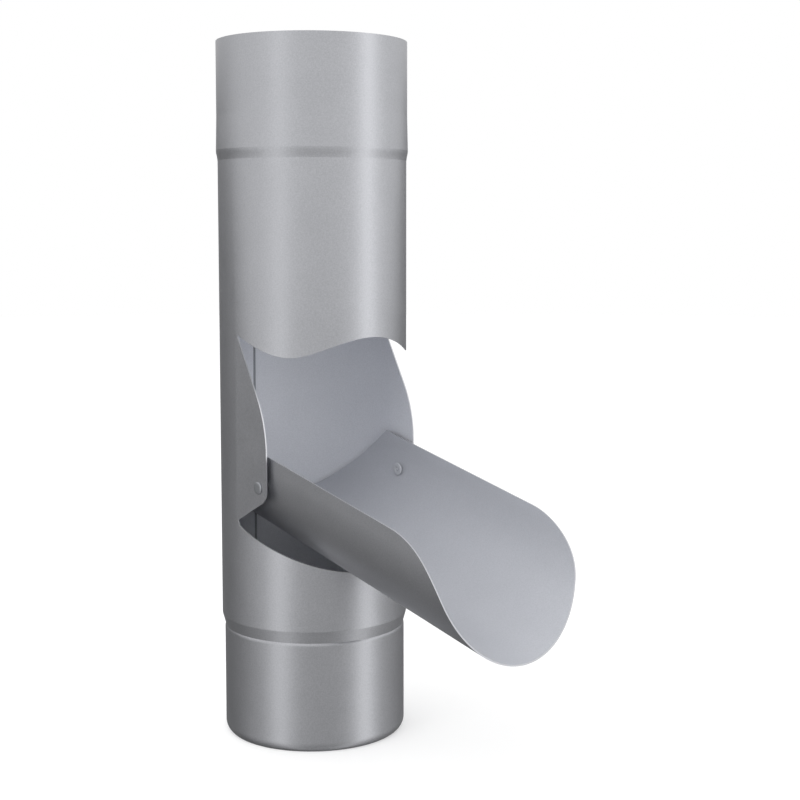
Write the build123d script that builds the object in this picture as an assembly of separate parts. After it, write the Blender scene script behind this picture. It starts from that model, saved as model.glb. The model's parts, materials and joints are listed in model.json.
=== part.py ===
from build123d import *
import os
from math import asin, atan, cos, degrees, radians, sin, sqrt, tan

# Downpipe diverter in zinc sheet, in millimetres. The pipe's axis is the Z axis, and the chute pours
# out along -Y. Heights are measured from the spigot's rim, and the finished nodes are then set down
# so that the origin is at the spigot's neck, as far as it slides into the pipe below.

# Sheet and pipe
sheet = 0.7
bore_radius = 50.0
total_height = 374.0

# Socket at the top, which takes the drawn-in end of the pipe above
socket_widening = 0.45
socket_swell = 0.4
swell_height = 18.0
socket_depth = 57.5
taper_height = 5.5

# Spigot at the bottom, drawn in to slide into the next socket
spigot_narrowing = 1.35
spigot_length = 57.2
neck_crease_depth = 0.45
neck_ring_height = 1.6
shoulder_slope = 15.5
shoulder_bend_radius = 2.0
rim_radius = 6.0
rim_turn = 55.0

# Longitudinal weld seam, opposite the chute and a little to the left
seam_turn = 4.1
seam_margin = 9.0
seam_bead_radius = 0.5
seam_bead_proud = 0.3

# Window in the front half of the pipe
window_side_low = 119.0
window_low_corner = 4.0
window_side_high = 220.2
window_crest = 218.9
window_lobe = 208.8
crest_to_lobe = 213.7
lobe_to_side = 212.9
lobe_angle = 52.0
crest_to_lobe_angle = 28.5
lobe_to_side_angle = 71.5

# Straightened wall beside the window, which carries the chute
cheek_reach = 25.6
cheek_high_corner = 174.3
cheek_high_corner_radius = 62.0
cheek_low_corner = 135.2
cheek_low_corner_radius = 8.0

# Pivot of the chute
pivot_forward = 18.6
pivot_height = 140.9

# Chute, a half-round trough with short straight sides, measured from its pivot
chute_side_gap = 2.3
chute_side_height = 6.4
chute_top_above_pivot = 17.0
chute_tilt = 13.0
chute_length = 127.8
lip_slope = 61.7
lip_corner_radius = 45.0
tail_length = 17.1
mitre_slope = 51.7
rest_gap = 0.1

# Pivot rivets
rivet_radius = 2.0
rivet_turning_gap = 0.08
rivet_end_gap = 0.1
rivet_collar_radius = 3.4
rivet_outer_radius = 3.3
rivet_outer_height = 0.9
rivet_inner_radius = 3.5
rivet_inner_height = 0.8
rivet_edge_radius = 0.5
mandrel_radius = 0.9
mandrel_groove_radius = 1.4
mandrel_groove_depth = 0.35

# Places worked out from the sizes above
pipe_radius = bore_radius + sheet
spigot_radius = pipe_radius - spigot_narrowing
socket_bore_radius = bore_radius + socket_widening
socket_radius = socket_bore_radius + sheet
socket_bottom = total_height - socket_depth
pivot_y = -pivot_forward
chute_radius = bore_radius - chute_side_gap
chute_centre_above_pivot = chute_top_above_pivot - chute_side_height
chute_depth = chute_side_height + chute_radius
chute_floor_below_pivot = chute_depth - chute_top_above_pivot
room = 10.0


def chute_underside_height(forward):
    """Height of the chute's lowest line at rest, a given distance in front of the pipe's axis."""
    tilt = radians(chute_tilt)
    along = (forward - pivot_forward + chute_floor_below_pivot * sin(tilt)) / cos(tilt)
    return pivot_height - along * sin(tilt) - chute_floor_below_pivot * cos(tilt)


window_low_slope = (window_side_low + rest_gap - chute_underside_height(bore_radius)) / bore_radius
window_notch = window_side_low + window_low_corner * tan(radians(45) - atan(window_low_slope) / 2)


def wall_line(inset):
    """The pipe's outer line from rim to socket, or its inner one, set in by the sheet."""
    crease = Vector(spigot_radius - neck_crease_depth, spigot_length + neck_ring_height)
    ring_radius = (neck_crease_depth**2 + neck_ring_height**2) / (2 * neck_crease_depth)
    ring_turn = degrees(asin(neck_ring_height / ring_radius))
    slope = radians(shoulder_slope)
    inward = Vector(-cos(slope), sin(slope))
    bend_x = pipe_radius - shoulder_bend_radius
    bend_rise = ((bend_x - crease.X) * cos(slope) + shoulder_bend_radius) / sin(slope)
    bend = Vector(bend_x, crease.Y + bend_rise)
    bend_radius = shoulder_bend_radius - inset
    rim_top = rim_radius * sin(radians(rim_turn))
    taper_bottom = socket_bottom - taper_height
    swell_top = socket_bottom + swell_height
    spigot = spigot_radius - inset
    body = pipe_radius - inset
    swell = socket_radius + socket_swell - inset
    socket = socket_radius - inset
    upright = ((0, 1), (0, 1))

    lines = [
        CenterArc((spigot_radius - rim_radius, rim_top), rim_radius - inset, -rim_turn, rim_turn),
        Line((spigot, rim_top), (spigot, spigot_length)),
        CenterArc((spigot_radius - ring_radius, spigot_length), ring_radius - inset, 0, ring_turn),
        Line(crease + inward * inset, bend - inward * bend_radius),
        CenterArc(bend, bend_radius, -shoulder_slope, shoulder_slope),
        Line((body, bend.Y), (body, taper_bottom)),
        Spline((body, taper_bottom), (swell, socket_bottom), tangents=upright),
        Spline((swell, socket_bottom), (socket, swell_top), tangents=upright),
        Line((socket, swell_top), (socket, total_height)),
    ]
    if inset:
        lines.append(CenterArc(crease, inset, ring_turn - 180, -ring_turn - shoulder_slope))
    return lines


def pipe_wall():
    """The pipe's wall turned from its section: rolled rim, spigot, neck, body, taper and socket."""
    outside = wall_line(0)
    inside = wall_line(sheet)
    rim_end = Line(inside[0] @ 0, outside[0] @ 0)
    socket_end = Line((socket_bore_radius, total_height), (socket_radius, total_height))
    edges = [edge for line in (*outside, *inside, rim_end, socket_end) for edge in line.edges()]
    return revolve(Plane.XZ * make_face(edges), Axis.Z)


def window_cutter():
    """The front of the wall between the cheeks: a waved edge above, a sloping edge below."""
    heights = {
        0: window_crest,
        crest_to_lobe_angle: crest_to_lobe,
        lobe_angle: window_lobe,
        lobe_to_side_angle: lobe_to_side,
        90: window_side_high,
    }
    turns = sorted({side * angle for angle in heights for side in (-1, 1)})

    def waved_edge(radius):
        points = [
            (radius * sin(radians(turn)), -radius * cos(radians(turn)), heights[abs(turn)])
            for turn in turns
        ]
        return Edge.make_spline([Vector(*point) for point in points])

    top = Face.make_surface_from_curves(waved_edge(bore_radius - room), waved_edge(pipe_radius + room))
    below_wave = extrude(top, amount=total_height, dir=(0, 0, -1))

    front = -pipe_radius - room
    outline = Polyline(
        (0, window_side_low),
        (0, total_height),
        (front, total_height),
        (front, window_side_low + window_low_slope * front),
        close=True,
    )
    side_face = make_face(outline)
    low_corner = side_face.vertices().sort_by_distance((0, window_side_low))[0]
    side_face = fillet(low_corner, window_low_corner)
    return below_wave & extrude(Plane.YZ * side_face, amount=pipe_radius + room, both=True)


def cheek_pair():
    """The two walls beside the window, bent straight forward from the pipe's widest line."""
    outline = Polyline(
        (sheet, window_notch),
        (0, window_notch),
        (-cheek_reach, cheek_low_corner),
        (-cheek_reach, cheek_high_corner),
        (0, window_side_high),
        (sheet, window_side_high),
        close=True,
    )
    face = make_face(outline)
    for height, radius in (
        (cheek_low_corner, cheek_low_corner_radius),
        (cheek_high_corner, cheek_high_corner_radius),
    ):
        corner = face.vertices().sort_by_distance((-cheek_reach, height))[0]
        face = fillet(corner, radius)
    right = extrude(Plane.YZ.offset(bore_radius) * face, amount=sheet)
    return right + mirror(right, Plane.YZ)


def pivot_bar(radius, reach):
    """A bar through the pivot, from one side to the other, for cutting holes."""
    return Pos(0, pivot_y, pivot_height) * Rot(0, 90, 0) * Cylinder(radius, 2 * reach)


def make_pipe():
    """One sheet: the turned wall, opened by the window, with its cheeks and weld seam."""
    seam_length = socket_bottom - taper_height - spigot_length - 2 * seam_margin
    seam_y = bore_radius + seam_bead_radius - seam_bead_proud
    seam_middle = spigot_length + seam_margin + seam_length / 2
    seam = Rot(0, 0, seam_turn) * Pos(0, seam_y, seam_middle) * Cylinder(seam_bead_radius, seam_length)
    pipe = pipe_wall() - window_cutter() + cheek_pair() + seam
    return pipe - pivot_bar(rivet_radius, pipe_radius + room)


def channel(radius, top):
    """A solid bar with the trough's section, level, with the pivot at the origin."""
    centre = chute_centre_above_pivot
    section = make_face(
        Wire([
            *ThreePointArc((-radius, centre), (0, centre - radius), (radius, centre)).edges(),
            *Polyline((radius, centre), (radius, top), (-radius, top), (-radius, centre)).edges(),
        ])
    )
    reach = chute_length + 2 * chute_depth
    return extrude(Plane.XZ * section, amount=reach, both=True)


def chute_side():
    """The chute seen from its side: a rounded slanting lip in front and a mitred tail behind."""
    top = chute_top_above_pivot
    floor = top - chute_depth - room
    lip_run = (top - floor) / tan(radians(lip_slope))
    mitre_run = (top - floor) / tan(radians(mitre_slope))
    outline = Polyline(
        (tail_length, top),
        (-chute_length, top),
        (-chute_length - lip_run, floor),
        (tail_length + mitre_run, floor),
        close=True,
    )
    face = make_face(outline)
    lip_corner = face.vertices().sort_by_distance((-chute_length, top))[0]
    face = fillet(lip_corner, lip_corner_radius)
    return extrude(Plane.YZ * face, amount=pipe_radius, both=True)


def make_chute():
    """The trough, cut to its lip and mitre, bored for the rivets and tilted to its rest."""
    top = chute_top_above_pivot
    trough = channel(chute_radius, top) - channel(chute_radius - sheet, top + room)
    trough = trough & chute_side()
    chute = Pos(0, pivot_y, pivot_height) * Rot(chute_tilt, 0, 0) * trough
    return chute - pivot_bar(rivet_radius + rivet_turning_gap, pipe_radius + room)


def chute_half_width(below_centre, radius):
    """Half the trough's width, a given distance below the centre of its round floor."""
    return sqrt(radius**2 - max(below_centre, 0) ** 2)


def make_rivet(side):
    """A headed pivot pin: it holds the cheek, spaces the chute with a collar and ends inside it."""
    pivot_drop = chute_centre_above_pivot
    collar_end = chute_half_width(pivot_drop - rivet_collar_radius, chute_radius) + rivet_end_gap
    inner_wall = chute_half_width(pivot_drop + rivet_inner_radius, chute_radius - sheet)
    inner_face = inner_wall - rivet_end_gap
    inner_top = inner_face - rivet_inner_height
    groove_floor = inner_top + mandrel_groove_depth
    outer_top = pipe_radius + rivet_outer_height
    edge = rivet_edge_radius

    mandrel = Polyline((0, inner_top), (mandrel_radius, inner_top), (mandrel_radius, groove_floor),
                       (mandrel_groove_radius, groove_floor), (mandrel_groove_radius, inner_top))
    inner_flat = Line((mandrel_groove_radius, inner_top), (rivet_inner_radius - edge, inner_top))
    inner_edge = CenterArc((rivet_inner_radius - edge, inner_top + edge), edge, -90, 90)
    shank = Polyline((rivet_inner_radius, inner_top + edge), (rivet_inner_radius, inner_face),
                     (rivet_radius, inner_face), (rivet_radius, collar_end),
                     (rivet_collar_radius, collar_end), (rivet_collar_radius, bore_radius),
                     (rivet_radius, bore_radius), (rivet_radius, pipe_radius),
                     (rivet_outer_radius, pipe_radius), (rivet_outer_radius, outer_top - edge))
    outer_edge = CenterArc((rivet_outer_radius - edge, outer_top - edge), edge, 0, 90)
    closing = Polyline((rivet_outer_radius - edge, outer_top), (0, outer_top), (0, inner_top))
    lines = (mandrel, inner_flat, inner_edge, shank, outer_edge, closing)
    section = make_face(Wire([piece for line in lines for piece in line.edges()]))
    rivet = revolve(section, Axis.Y)
    outward = Plane(origin=(0, pivot_y, pivot_height), x_dir=(0, 0, 1), z_dir=(0, side, 0))
    return outward * rivet


nodes = {
    "pipe": make_pipe(),
    "chute": make_chute(),
    "rivet_left": make_rivet(-1),
    "rivet_right": make_rivet(1),
}

os.makedirs("parts", exist_ok=True)
for name, shape in nodes.items():
    export_step(Pos(0, 0, -spigot_length) * shape, f"parts/{name}.step")
    print(name, round(shape.volume, 1), "mm3")
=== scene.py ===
import json
import math

import bmesh
import bpy
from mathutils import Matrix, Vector


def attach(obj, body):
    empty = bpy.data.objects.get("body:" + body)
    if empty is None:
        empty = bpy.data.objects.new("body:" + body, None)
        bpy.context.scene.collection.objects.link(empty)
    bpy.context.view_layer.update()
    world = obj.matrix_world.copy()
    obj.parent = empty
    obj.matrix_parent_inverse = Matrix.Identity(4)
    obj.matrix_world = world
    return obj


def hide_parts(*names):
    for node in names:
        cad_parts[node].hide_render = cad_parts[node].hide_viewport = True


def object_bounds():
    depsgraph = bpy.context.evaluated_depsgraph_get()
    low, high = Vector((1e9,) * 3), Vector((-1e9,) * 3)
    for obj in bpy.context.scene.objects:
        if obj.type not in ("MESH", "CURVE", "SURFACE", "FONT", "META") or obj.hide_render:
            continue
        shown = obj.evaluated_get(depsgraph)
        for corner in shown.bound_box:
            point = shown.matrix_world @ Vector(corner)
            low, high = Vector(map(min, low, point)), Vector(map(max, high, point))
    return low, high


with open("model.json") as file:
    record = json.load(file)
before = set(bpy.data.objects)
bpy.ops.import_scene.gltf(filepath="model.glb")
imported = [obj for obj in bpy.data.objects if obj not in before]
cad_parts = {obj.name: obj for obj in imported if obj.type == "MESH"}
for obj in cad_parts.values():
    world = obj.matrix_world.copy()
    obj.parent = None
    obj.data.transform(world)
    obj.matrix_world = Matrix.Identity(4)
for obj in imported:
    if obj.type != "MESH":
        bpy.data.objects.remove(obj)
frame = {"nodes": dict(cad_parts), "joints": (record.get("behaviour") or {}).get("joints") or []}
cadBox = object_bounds()
nodes = frame["nodes"]
pivot = Vector(frame["joints"][0]["pos_m"])  # of the chute, in the middle of the pipe
print("frame loaded:", sorted(nodes))


def toLinear(hexColour):
    parts = [int(hexColour[i:i + 2], 16) / 255 for i in (1, 3, 5)]
    return [p / 12.92 if p <= 0.04045 else ((p + 0.055) / 1.055) ** 2.4 for p in parts] + [1.0]


def addNode(tree, kind, inputs=None, **settings):
    # one node with its settings; an input is a value or another node's output
    node = tree.nodes.new(kind)
    for name, value in settings.items():
        setattr(node, name, value)
    for name, value in (inputs or {}).items():
        if isinstance(value, bpy.types.NodeSocket):
            tree.links.new(value, node.inputs[name])
        else:
            node.inputs[name].default_value = value
    return node


def newMaterial(name):
    material = bpy.data.materials.new(name)
    material.use_nodes = True
    material.node_tree.nodes.clear()
    return material, material.node_tree


# A Map Range node reads its value at 0, its range at 1 and 2, and gives 3 to 4, or 0 to 1. A Mix
# node of colours reads its share at 0 and its colours at 6 and 7, and gives the result at 2.
noiseRange = {1: 0.3, 2: 0.7}  # where nearly all of a noise texture's values lie

# sheet zinc
zincSheet = {
    "dark": "#A6A7AB",
    "light": "#B8B9BD",
    # the inner face's colours are painted light: paler than the outer face, standing in for light on the
    # pipe's inner wall
    "insideDark": "#CBCDD3",
    "insideLight": "#D8DAE0",
    # cut edges painted lighter, partly as fresh cut metal and partly as a painted edge highlight
    "cutEdgeAndHighlight": "#C6C7CA",
    "metallic": 0.95,
    "insideMetallic": 0.2,        # the inside is duller
    "roughness": 0.42,
    "insideRoughness": 0.55,
    "roughnessSwing": 0.04,
    "grainSize": 0.0007,          # rolled grain, 0.7 mm
    "grainDepth": 0.000012,
    "grainStrength": 0.5,
    "cloudSize": 0.016,           # faint clouds that rolling oil leaves, 16 mm
    "cloudShare": 0.15,
    "insideRange": (0.3, -0.3),   # the normal's cosine to the radius, from outside to inside
    "cutRange": (0.6, 0.5),       # the same cosine's size, from sheet to cut edge
    "seamTurn": 4.1,              # degrees to the left of the back
    "seamBehind": (0.03, 0.035),  # metres behind the axis, from no seam to a full one
    "seamShadeAndHighlight": [                # middle and half width in metres, strength and colour
        # the weld's dark line, partly its own colour and partly painted shade on the bead's shaded side
        (-0.0006, 0.0007, 0.8, "#6E7177"),
        # a painted highlight on the bead's lit side
        (0.0012, 0.0009, 0.6, "#CFD2D7"),
    ],
}
zincChute = {
    **zincSheet,
    # the chute's inner colours are painted shade: darker than the pipe's inner face, to damp the light on the
    # chute's lip
    "insideDark": "#AEB0B6",
    "insideLight": "#BABCC2",
    "insideMetallic": 0.3,
    "insideRoughness": 0.5,
    # the chute's cut edges, painted lighter as fresh cut metal and as a painted edge highlight
    "cutEdgeAndHighlight": "#B4B5B9",
    "tilt": 13.0,                 # degrees
    "axisAbove": 0.0106,          # of the trough's round floor, above the pivot
}


def turnLevel(tree, place, normal, look):
    # the sloping trough is turned level, so that its radius can be read off
    slope = -math.radians(look["tilt"])
    middle = pivot + Vector((0, 0, look["axisAbove"]))
    place = addNode(tree, "ShaderNodeVectorRotate", {"Vector": place, "Center": pivot, "Angle": slope},
                    rotation_type="X_AXIS")
    place = addNode(tree, "ShaderNodeVectorMath", {0: place.outputs[0], 1: middle}, operation="SUBTRACT")
    normal = addNode(tree, "ShaderNodeVectorRotate", {"Vector": normal, "Angle": slope},
                     rotation_type="X_AXIS")
    return place.outputs[0], normal.outputs[0]


def weldSeamShadeAndHighlight(tree, place, colour, look):
    # down the back of the pipe: the weld's dark line, partly painted shade on the bead's shaded side, and a
    # painted highlight beside it on the lit side
    turn = math.radians(look["seamTurn"])
    start, full = look["seamBehind"]
    across = addNode(tree, "ShaderNodeVectorMath", {0: place, 1: (math.cos(turn), math.sin(turn), 0)},
                     operation="DOT_PRODUCT").outputs["Value"]
    back = addNode(tree, "ShaderNodeSeparateXYZ", {0: place}).outputs[1]
    behind = addNode(tree, "ShaderNodeMapRange", {0: back, 1: start, 2: full}).outputs[0]
    for middle, half, strength, shade in look["seamShadeAndHighlight"]:
        line = addNode(tree, "ShaderNodeMath", {0: across, 1: middle, 2: half}, operation="COMPARE")
        share = addNode(tree, "ShaderNodeMath", {0: line.outputs[0], 1: behind}, operation="MULTIPLY")
        share = addNode(tree, "ShaderNodeMath", {0: share.outputs[0], 1: strength}, operation="MULTIPLY")
        colour = addNode(tree, "ShaderNodeMix", {0: share.outputs[0], 6: colour, 7: toLinear(shade)},
                         data_type="RGBA").outputs[2]
    return colour


def rolledZinc(name, look):
    # satin rolled titanium zinc: a soft broad gloss, fine speckle, and bright cut edges, partly fresh metal
    # and partly a painted edge highlight; the inner face has its own painted tone, lighter on the pipe and
    # darker on the chute
    material, tree = newMaterial(name)
    coords = addNode(tree, "ShaderNodeTexCoord").outputs
    place, normal = coords["Object"], coords["Normal"]
    isTrough = "tilt" in look
    if isTrough:
        place, normal = turnLevel(tree, place, normal, look)

    parts = addNode(tree, "ShaderNodeSeparateXYZ", {0: place}).outputs
    if isTrough:  # round below its axis, straight above it
        below = addNode(tree, "ShaderNodeMath", {0: parts[2], 1: 0.0}, operation="MINIMUM").outputs[0]
        spoke = addNode(tree, "ShaderNodeCombineXYZ", {0: parts[0], 2: below})
    else:
        spoke = addNode(tree, "ShaderNodeCombineXYZ", {0: parts[0], 1: parts[1]})
    spoke = addNode(tree, "ShaderNodeVectorMath", {0: spoke.outputs[0]}, operation="NORMALIZE")
    facing = addNode(tree, "ShaderNodeVectorMath", {0: spoke.outputs[0], 1: normal},
                     operation="DOT_PRODUCT").outputs["Value"]
    outward, inward = look["insideRange"]
    inside = addNode(tree, "ShaderNodeMapRange", {0: facing, 1: outward, 2: inward}).outputs[0]
    along, across = look["cutRange"]
    steepness = addNode(tree, "ShaderNodeMath", {0: facing}, operation="ABSOLUTE").outputs[0]
    cut = addNode(tree, "ShaderNodeMapRange", {0: steepness, 1: along, 2: across}).outputs[0]

    grain = addNode(tree, "ShaderNodeTexNoise",
                    {"Vector": coords["Object"], "Scale": 1 / look["grainSize"], "Detail": 2.0,
                     "Roughness": 0.6}).outputs[0]
    cloud = addNode(tree, "ShaderNodeTexNoise",
                    {"Vector": coords["Object"], "Scale": 1 / look["cloudSize"], "Detail": 3.0,
                     "Roughness": 0.5}).outputs[0]
    speck = addNode(tree, "ShaderNodeMapRange", {0: grain, **noiseRange}).outputs[0]
    drift = addNode(tree, "ShaderNodeMapRange", {0: cloud, **noiseRange}).outputs[0]
    tone = addNode(tree, "ShaderNodeMix", {"Factor": look["cloudShare"], "A": speck, "B": drift},
                   data_type="FLOAT").outputs[0]

    # outer and inner faces: the inner face's tone is painted, lighter on the pipe as painted light and darker
    # on the chute as painted shade
    outer, inner = (
        addNode(tree, "ShaderNodeMix", {0: tone, 6: toLinear(look[dark]), 7: toLinear(look[light])},
                data_type="RGBA").outputs[2]
        for dark, light in (("dark", "light"), ("insideDark", "insideLight"))
    )
    colour = addNode(tree, "ShaderNodeMix", {0: inside, 6: outer, 7: inner}, data_type="RGBA").outputs[2]
    if not isTrough:
        colour = weldSeamShadeAndHighlight(tree, place, colour, look)
    # cut edges take their lighter colour, partly as a painted edge highlight
    colour = addNode(tree, "ShaderNodeMix", {0: cut, 6: colour, 7: toLinear(look["cutEdgeAndHighlight"])},
                     data_type="RGBA").outputs[2]

    metal, shine = (
        addNode(tree, "ShaderNodeMapRange", {0: inside, 3: look[out], 4: look[within]}).outputs[0]
        for out, within in (("metallic", "insideMetallic"), ("roughness", "insideRoughness"))
    )
    swing = addNode(tree, "ShaderNodeMapRange",
                    {0: tone, 3: -look["roughnessSwing"], 4: look["roughnessSwing"]}).outputs[0]
    shine = addNode(tree, "ShaderNodeMath", {0: shine, 1: swing}, operation="ADD").outputs[0]
    bump = addNode(tree, "ShaderNodeBump",
                   {"Strength": look["grainStrength"], "Distance": look["grainDepth"], "Height": grain})
    shader = addNode(tree, "ShaderNodeBsdfPrincipled",
                     {"Base Color": colour, "Metallic": metal, "Roughness": shine, "Normal": bump.outputs[0]})
    addNode(tree, "ShaderNodeOutputMaterial", {"Surface": shader.outputs[0]})
    return material


def dressNode(name, material):
    mesh = nodes[name].data
    mesh.materials.clear()
    mesh.materials.append(material)


dressNode("pipe", rolledZinc("zincRolledPipe", zincSheet))
dressNode("chute", rolledZinc("zincRolledChute", zincChute))
print("pipe and chute dressed in rolled zinc")

# The two pivot rivets, turned from one profile. Each point is its radius and its distance from
# the pipe's axis, in millimetres, from the middle of the inner head to the middle of the outer one.
rivets = {
    "profile": [
        (0, 43.98), (0.5, 43.99), (0.8, 44.03), (0.9, 44.28), (1.4, 44.28), (1.5, 44.0), (1.7, 43.97),
        (2.5, 43.98), (3.0, 44.04), (3.35, 44.18), (3.5, 44.4), (3.5, 44.66), (3.4, 44.73), (2.0, 44.73),
        (2.0, 47.25), (3.3, 47.25), (3.4, 47.35), (3.4, 50.0), (2.0, 50.0), (2.0, 50.7), (3.2, 50.7),
        (3.3, 50.8), (3.3, 51.08), (3.17, 51.33), (2.9, 51.48), (2.4, 51.56), (1.6, 51.59), (0.8, 51.6),
        (0, 51.6),
    ],
    "facets": 64,
    "mergeWithin": 0.000001,
    "sharpFrom": 50,          # degrees between two faces
    # the outer heads are painted darker than the zinc: painted shade for the darker reflection on them
    "dark": "#9A9CA0",
    "light": "#A8AAAE",
    "innerDark": "#B2B4B9",   # the heads inside the chute are painted as pale as its inside, a lit copy of the same aluminium, and as dull as it is
    "innerLight": "#BEC0C5",
    "metallic": 0.95,
    "innerMetallic": 0.2,
    "innerUpTo": 0.0462,      # metres from the middle of the pipe
    "roughness": 0.45,
    "roughnessSwing": 0.05,
    "grainSize": 0.0004,      # tumbled grain, 0.4 mm
}


def dullAluminium(name, look):
    # plain aluminium rivet, tumbled and dulled outdoors: a soft sheen close to the zinc's
    material, tree = newMaterial(name)
    place = addNode(tree, "ShaderNodeTexCoord").outputs["Object"]
    grain = addNode(tree, "ShaderNodeTexNoise",
                    {"Vector": place, "Scale": 1 / look["grainSize"], "Detail": 2.0}).outputs[0]
    tone = addNode(tree, "ShaderNodeMapRange", {0: grain, **noiseRange}).outputs[0]
    shine = addNode(tree, "ShaderNodeMapRange",
                    {0: tone, 3: look["roughness"] - look["roughnessSwing"],
                     4: look["roughness"] + look["roughnessSwing"]}).outputs[0]
    # outer and inner heads get two painted tones of the same aluminium: darker outside as painted shade,
    # paler inside as painted light
    aside = addNode(tree, "ShaderNodeSeparateXYZ", {0: place}).outputs[0]
    aside = addNode(tree, "ShaderNodeMath", {0: aside}, operation="ABSOLUTE").outputs[0]
    outside = addNode(tree, "ShaderNodeMath", {0: aside, 1: look["innerUpTo"]},
                      operation="GREATER_THAN").outputs[0]
    inner, outer = (
        addNode(tree, "ShaderNodeMix", {0: tone, 6: toLinear(look[dark]), 7: toLinear(look[light])},
                data_type="RGBA").outputs[2]
        for dark, light in (("innerDark", "innerLight"), ("dark", "light"))
    )
    colour = addNode(tree, "ShaderNodeMix", {0: outside, 6: inner, 7: outer}, data_type="RGBA").outputs[2]
    metal = addNode(tree, "ShaderNodeMapRange",
                    {0: outside, 3: look["innerMetallic"], 4: look["metallic"]}).outputs[0]
    shader = addNode(tree, "ShaderNodeBsdfPrincipled",
                     {"Base Color": colour, "Metallic": metal, "Roughness": shine})
    addNode(tree, "ShaderNodeOutputMaterial", {"Surface": shader.outputs[0]})
    return material


def followPoints(tree, along, values):
    # a curve that passes straight from value to value as along goes from 0 to 1
    curve = addNode(tree, "ShaderNodeFloatCurve", {"Value": along})
    points = curve.mapping.curves[0].points
    last = len(values) - 1
    for _ in range(last - 1):
        points.new(0.5, 0.5)
    for number, value in enumerate(values):
        points[number].location = (number / last, value)
        points[number].handle_type = "VECTOR"
    curve.mapping.update()
    return curve.outputs[0]


def turnedPair(look, metal):
    # Geometry Nodes: a sheet of points is wrapped round the profile, closed, and set at both pivots
    radii, reaches = ([point[k] / 1000 for point in look["profile"]] for k in (0, 1))
    widest, nearest, farthest = max(radii), min(reaches), max(reaches)
    tree = bpy.data.node_groups.new("rivetPair", "GeometryNodeTree")
    inputs = {}
    for name, kind, value in (("Head Radius", "Float", widest), ("Inner End", "Float", nearest),
                              ("Outer End", "Float", farthest), ("Facets", "Int", look["facets"]),
                              ("Merge Within", "Float", look["mergeWithin"]), ("Pivot", "Vector", pivot),
                              ("Metal", "Material", metal)):
        socket = tree.interface.new_socket(name, in_out="INPUT", socket_type="NodeSocket" + kind)
        inputs[socket.identifier] = value
    tree.interface.new_socket("Mesh", in_out="OUTPUT", socket_type="NodeSocketGeometry")
    given = addNode(tree, "NodeGroupInput").outputs

    # the sheet is 1 by 1 round its middle: along the profile in X, once round it in Y
    rows = addNode(tree, "ShaderNodeMath", {0: given["Facets"], 1: 1.0}, operation="ADD").outputs[0]
    grid = addNode(tree, "GeometryNodeMeshGrid",
                   {"Size X": 1.0, "Size Y": 1.0, "Vertices X": len(radii), "Vertices Y": rows}).outputs[0]
    spot = addNode(tree, "GeometryNodeInputPosition").outputs[0]
    spot = addNode(tree, "ShaderNodeSeparateXYZ", {0: spot}).outputs
    along = addNode(tree, "ShaderNodeMath", {0: spot[0], 1: 0.5}, operation="ADD").outputs[0]
    angle = addNode(tree, "ShaderNodeMath", {0: spot[1], 1: 2 * math.pi}, operation="MULTIPLY").outputs[0]
    radius = followPoints(tree, along, [value / widest for value in radii])
    radius = addNode(tree, "ShaderNodeMath", {0: radius, 1: given["Head Radius"]},
                     operation="MULTIPLY").outputs[0]
    share = followPoints(tree, along, [(value - nearest) / (farthest - nearest) for value in reaches])
    reach = addNode(tree, "ShaderNodeMapRange",
                    {0: share, 3: given["Inner End"], 4: given["Outer End"]}).outputs[0]
    sides = []
    for wave in ("COSINE", "SINE"):
        turned = addNode(tree, "ShaderNodeMath", {0: angle}, operation=wave).outputs[0]
        side = addNode(tree, "ShaderNodeMath", {0: turned, 1: radius}, operation="MULTIPLY").outputs[0]
        sides.append(side)
    place = addNode(tree, "ShaderNodeCombineXYZ", {0: reach, 1: sides[0], 2: sides[1]}).outputs[0]
    wrapped = addNode(tree, "GeometryNodeSetPosition", {"Geometry": grid, "Position": place}).outputs[0]
    closed = addNode(tree, "GeometryNodeMergeByDistance",
                     {"Geometry": wrapped, "Distance": given["Merge Within"]}).outputs[0]

    # two points at the pivot: the first rivet points to one side, and the second is turned half round
    pivots = addNode(tree, "GeometryNodeMeshLine",
                     {"Count": 2, "Start Location": given["Pivot"], "Offset": (0.0, 0.0, 0.0)}).outputs[0]
    number = addNode(tree, "GeometryNodeInputIndex").outputs[0]
    half = addNode(tree, "ShaderNodeMath", {0: number, 1: math.pi}, operation="MULTIPLY").outputs[0]
    facing = addNode(tree, "ShaderNodeCombineXYZ", {2: half}).outputs[0]
    both = addNode(tree, "GeometryNodeInstanceOnPoints",
                   {"Points": pivots, "Instance": closed, "Rotation": facing}).outputs[0]
    real = addNode(tree, "GeometryNodeRealizeInstances", {0: both}).outputs[0]
    made = addNode(tree, "GeometryNodeSetMaterial", {"Geometry": real, "Material": given["Metal"]}).outputs[0]
    addNode(tree, "NodeGroupOutput", {0: made})
    return tree, inputs


def plainMesh(name, tree, inputs, sharpFrom):
    # the node tree's result as an ordinary mesh object
    holder = bpy.data.objects.new(name + "Maker", bpy.data.meshes.new(name + "Maker"))
    bpy.context.scene.collection.objects.link(holder)
    modifier = holder.modifiers.new("nodes", "NODES")
    modifier.node_group = tree
    for identifier, value in inputs.items():
        modifier[identifier] = value
    depsgraph = bpy.context.evaluated_depsgraph_get()
    mesh = bpy.data.meshes.new_from_object(holder.evaluated_get(depsgraph))
    bpy.data.objects.remove(holder)
    form = bmesh.new()
    form.from_mesh(mesh)
    bmesh.ops.recalc_face_normals(form, faces=form.faces)
    form.to_mesh(mesh)
    form.free()
    mesh.shade_smooth()
    mesh.set_sharp_from_angle(angle=math.radians(sharpFrom))
    piece = bpy.data.objects.new(name, mesh)
    bpy.context.scene.collection.objects.link(piece)
    return piece


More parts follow.
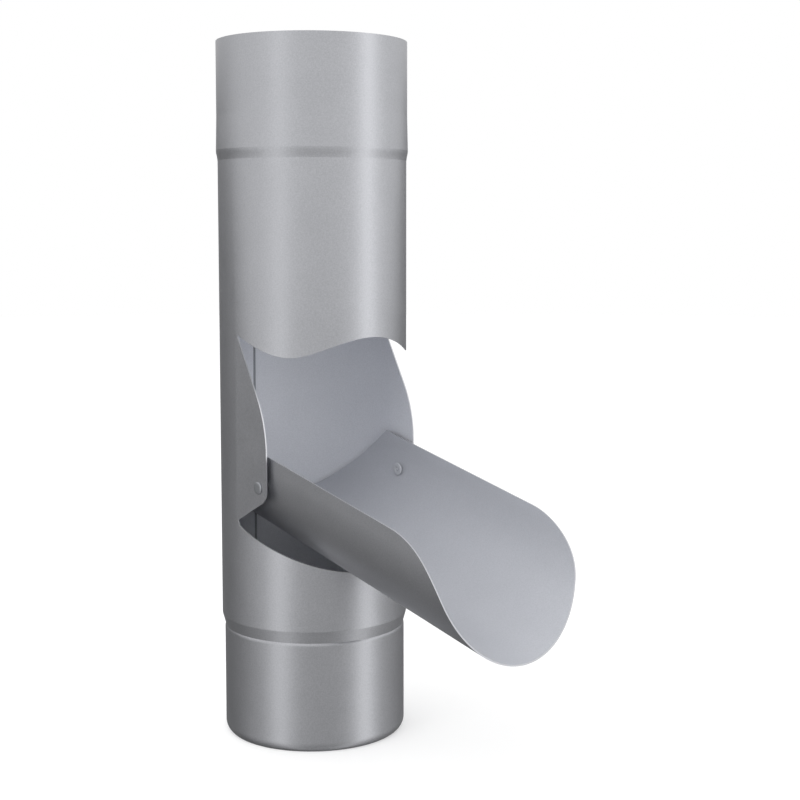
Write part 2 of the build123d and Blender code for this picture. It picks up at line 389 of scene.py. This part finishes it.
rivetTree, rivetInputs = turnedPair(rivets, dullAluminium("aluminiumRivet", rivets))
rivetPair = plainMesh("rivetPair", rivetTree, rivetInputs, rivets["sharpFrom"])
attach(rivetPair, "downpipe")
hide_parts("rivet_left", "rivet_right")
print("rivets turned:", len(rivetPair.data.polygons), "faces")

# studio
studio = {
    "floorHeight": cadBox[0][2],
    "floorReach": 4.0,
    "floorCorners": 64,
    "floorColour": "#DEDEDE",
    "floorLift": 0.3,
    "worldLight": 1.1,        # on the object, while the background itself shows as 1
    "stripSize": (0.16, 0.9),
    "stripDistance": 0.85,
    "stripMiddle": 0.4,
    "leftAzimuth": -75.0,
    "leftGlow": 0.75,
    "rightAzimuth": 31.0,
    "rightGlow": 2.0,
    "topPlace": (-0.8, -0.3, 0.95),
    "topSize": (1.0, 1.0),
    "topGlow": 1.55,
    "aim": (0.0, 0.0, 0.15),  # the point that every lamp faces
}
# a glowing drum, no lamp: its glow paints the metal's reflections, with dark sides and the strip lights'
# streaks
glowingGreyDrum = {
    "azimuth": 155.0,         # the middle of the standing part, behind the object
    "radius": 1.4,
    "depth": 1.2,             # how far its sides go down below the floor
    "lowRim": 0.01,           # above the floor, all round
    "wallHeight": 0.48,       # more, in the standing part
    "columns": 96,
    "frontGlow": 0.45,
    "backGlow": 0.15,
    "wideCosine": -0.1,       # where the card starts to rise and darken, as a cosine from its middle
    "fullCosine": 0.75,
    "bottomShare": 0.7,       # of the glow, at the drum's bottom
    "evenAbove": -0.6,        # the height from which the whole glow is there
    "streaks": [(-82.0, 1.25), (28.0, 1.7)],  # azimuth and glow of painted reflections of the strip lights
    "streakCosines": (0.97, 0.998),           # where a streak starts and where it is full
}


def seenDirectly(tree):
    # 1 for what the camera sees itself or in metal and glass, 0 for what only lights
    path = addNode(tree, "ShaderNodeLightPath").outputs
    seen = path["Is Camera Ray"]
    for ray in ("Is Glossy Ray", "Is Transmission Ray"):
        seen = addNode(tree, "ShaderNodeMath", {0: seen, 1: path[ray]}, operation="MAXIMUM").outputs[0]
    return seen


def buildWorld():
    world = bpy.data.worlds.new("studioWorld")
    world.use_nodes = True
    tree = world.node_tree
    tree.nodes.clear()
    strength = addNode(tree, "ShaderNodeMapRange", {0: seenDirectly(tree), 3: studio["worldLight"], 4: 1.0})
    glow = addNode(tree, "ShaderNodeBackground", {"Color": (1, 1, 1, 1), "Strength": strength.outputs[0]})
    addNode(tree, "ShaderNodeOutputWorld", {"Surface": glow.outputs[0]})
    bpy.context.scene.world = world


def buildFloor():
    material, tree = newMaterial("paperFloor")
    matte = addNode(tree, "ShaderNodeBsdfDiffuse", {"Color": toLinear(studio["floorColour"])})
    lift = addNode(tree, "ShaderNodeMath", {0: seenDirectly(tree), 1: studio["floorLift"]},
                   operation="MULTIPLY")
    glow = addNode(tree, "ShaderNodeEmission", {"Color": (1, 1, 1, 1), "Strength": lift.outputs[0]})
    both = addNode(tree, "ShaderNodeAddShader", {0: matte.outputs[0], 1: glow.outputs[0]})
    addNode(tree, "ShaderNodeOutputMaterial", {"Surface": both.outputs[0]})
    mesh = bpy.data.meshes.new("floor")
    form = bmesh.new()
    bmesh.ops.create_circle(form, cap_ends=True, segments=studio["floorCorners"], radius=studio["floorReach"])
    bmesh.ops.translate(form, verts=form.verts, vec=(0, 0, studio["floorHeight"]))
    form.to_mesh(mesh)
    form.free()
    mesh.materials.append(material)
    floor = bpy.data.objects.new("floor", mesh)
    floor.visible_glossy = False
    bpy.context.scene.collection.objects.link(floor)


def compass(azimuth, distance, height=0.0):
    # azimuth 0 is in front of the object, and 90 is to its right
    turn = math.radians(azimuth)
    return Vector((math.sin(turn) * distance, -math.cos(turn) * distance, height))


def cardGlow(card):
    # darkest in the middle of the standing part, a painted dark reflection, with a painted streak for each
    # strip light's reflection
    material, tree = newMaterial("glowingGreyDrum")
    place = addNode(tree, "ShaderNodeTexCoord").outputs["Object"]
    flat = addNode(tree, "ShaderNodeVectorMath", {0: place, 1: (1, 1, 0)}, operation="MULTIPLY")
    spoke = addNode(tree, "ShaderNodeVectorMath", {0: flat.outputs[0]}, operation="NORMALIZE").outputs[0]
    nearness = addNode(tree, "ShaderNodeVectorMath", {0: spoke, 1: compass(card["azimuth"], 1.0)},
                       operation="DOT_PRODUCT").outputs["Value"]
    glow = addNode(tree, "ShaderNodeMapRange",
                   {0: nearness, 1: card["wideCosine"], 2: card["fullCosine"], 3: card["frontGlow"],
                    4: card["backGlow"]}, interpolation_type="SMOOTHSTEP").outputs[0]
    start, full = card["streakCosines"]
    for azimuth, extra in card["streaks"]:
        nearness = addNode(tree, "ShaderNodeVectorMath", {0: spoke, 1: compass(azimuth, 1.0)},
                           operation="DOT_PRODUCT").outputs["Value"]
        streak = addNode(tree, "ShaderNodeMapRange", {0: nearness, 1: start, 2: full, 4: extra},
                         interpolation_type="SMOOTHSTEP").outputs[0]
        glow = addNode(tree, "ShaderNodeMath", {0: glow, 1: streak}, operation="ADD").outputs[0]
    height = addNode(tree, "ShaderNodeSeparateXYZ", {0: place}).outputs[2]
    share = addNode(tree, "ShaderNodeMapRange",
                    {0: height, 1: -card["depth"], 2: card["evenAbove"], 3: card["bottomShare"]}).outputs[0]
    glow = addNode(tree, "ShaderNodeMath", {0: glow, 1: share}, operation="MULTIPLY").outputs[0]
    shader = addNode(tree, "ShaderNodeEmission", {"Color": (1, 1, 1, 1), "Strength": glow})
    addNode(tree, "ShaderNodeOutputMaterial", {"Surface": shader.outputs[0]})
    material.cycles.emission_sampling = "NONE"
    return material


def buildGlowingGreyDrum():
    # a glowing grey drum, no lamp, round and under the object that rises behind it, seen only in reflections:
    # its glow paints the metal's dark sides and paints the strip lights' reflections down to the foot
    card = glowingGreyDrum
    middle = compass(card["azimuth"], 1.0)
    bottom = studio["floorHeight"] - card["depth"]
    form = bmesh.new()
    columns = []
    for number in range(card["columns"]):
        spoke = compass(360 * number / card["columns"], 1.0)
        share = (spoke.dot(middle) - card["wideCosine"]) / (card["fullCosine"] - card["wideCosine"])
        share = min(max(share, 0), 1)
        rise = card["wallHeight"] * share * share * (3 - 2 * share)
        top = studio["floorHeight"] + card["lowRim"] + rise
        foot = spoke * card["radius"]
        columns.append([form.verts.new(foot + Vector((0, 0, level))) for level in (bottom, top)])
    for here, after in zip(columns, columns[1:] + columns[:1]):
        form.faces.new((here[0], here[1], after[1], after[0]))
    form.faces.new([column[0] for column in columns])
    mesh = bpy.data.meshes.new("glowingGreyDrum")
    form.to_mesh(mesh)
    form.free()
    mesh.materials.append(cardGlow(card))
    sheet = bpy.data.objects.new("glowingGreyDrum", mesh)
    sheet.visible_camera = False
    sheet.visible_diffuse = False
    sheet.visible_shadow = False
    sheet.visible_transmission = False
    bpy.context.scene.collection.objects.link(sheet)


def addLamp(name, place, size, glow, mirrored=True):
    # a soft rectangular light that faces the object and isn't seen by the camera
    lamp = bpy.data.lights.new(name, "AREA")
    lamp.shape = "RECTANGLE"
    lamp.size, lamp.size_y = size
    lamp.energy = glow * math.pi * size[0] * size[1]
    holder = bpy.data.objects.new(name, lamp)
    holder.location = place
    holder.rotation_euler = (Vector(studio["aim"]) - Vector(place)).to_track_quat("-Z", "Y").to_euler()
    holder.visible_camera = False
    holder.visible_glossy = mirrored
    bpy.context.scene.collection.objects.link(holder)


buildWorld()
buildFloor()
buildGlowingGreyDrum()
for name, azimuth, glow in (("stripLeft", studio["leftAzimuth"], studio["leftGlow"]),
                            ("stripRight", studio["rightAzimuth"], studio["rightGlow"])):
    addLamp(name, compass(azimuth, studio["stripDistance"], studio["stripMiddle"]), studio["stripSize"], glow)
addLamp("softTop", studio["topPlace"], studio["topSize"], studio["topGlow"], mirrored=False)
print("studio lit")

# camera
shot = {
    "azimuth": -37.49,        # degrees round from the front, to the left
    "distance": 0.8227,       # from the pipe's axis
    "height": 0.2182,
    "panRight": 3.296,        # degrees that the view turns away from the axis
    "tiltDown": 5.606,
    "lens": 67.944,
    "sensorWidth": 36.0,
    "shiftY": -0.03,
}


def placeCamera():
    tilt = math.radians(shot["tiltDown"])
    look = compass(shot["azimuth"] + 180 - shot["panRight"], math.cos(tilt), -math.sin(tilt))
    lens = bpy.data.cameras.new("camera")
    lens.lens = shot["lens"]
    lens.sensor_width = shot["sensorWidth"]
    lens.sensor_fit = "HORIZONTAL"
    lens.shift_y = shot["shiftY"]
    camera = bpy.data.objects.new("camera", lens)
    camera.location = compass(shot["azimuth"], shot["distance"], shot["height"])
    camera.rotation_euler = look.to_track_quat("-Z", "Y").to_euler()
    bpy.context.scene.collection.objects.link(camera)
    bpy.context.scene.camera = camera


placeCamera()
bpy.context.scene.view_settings.view_transform = "Standard"
print("camera placed")
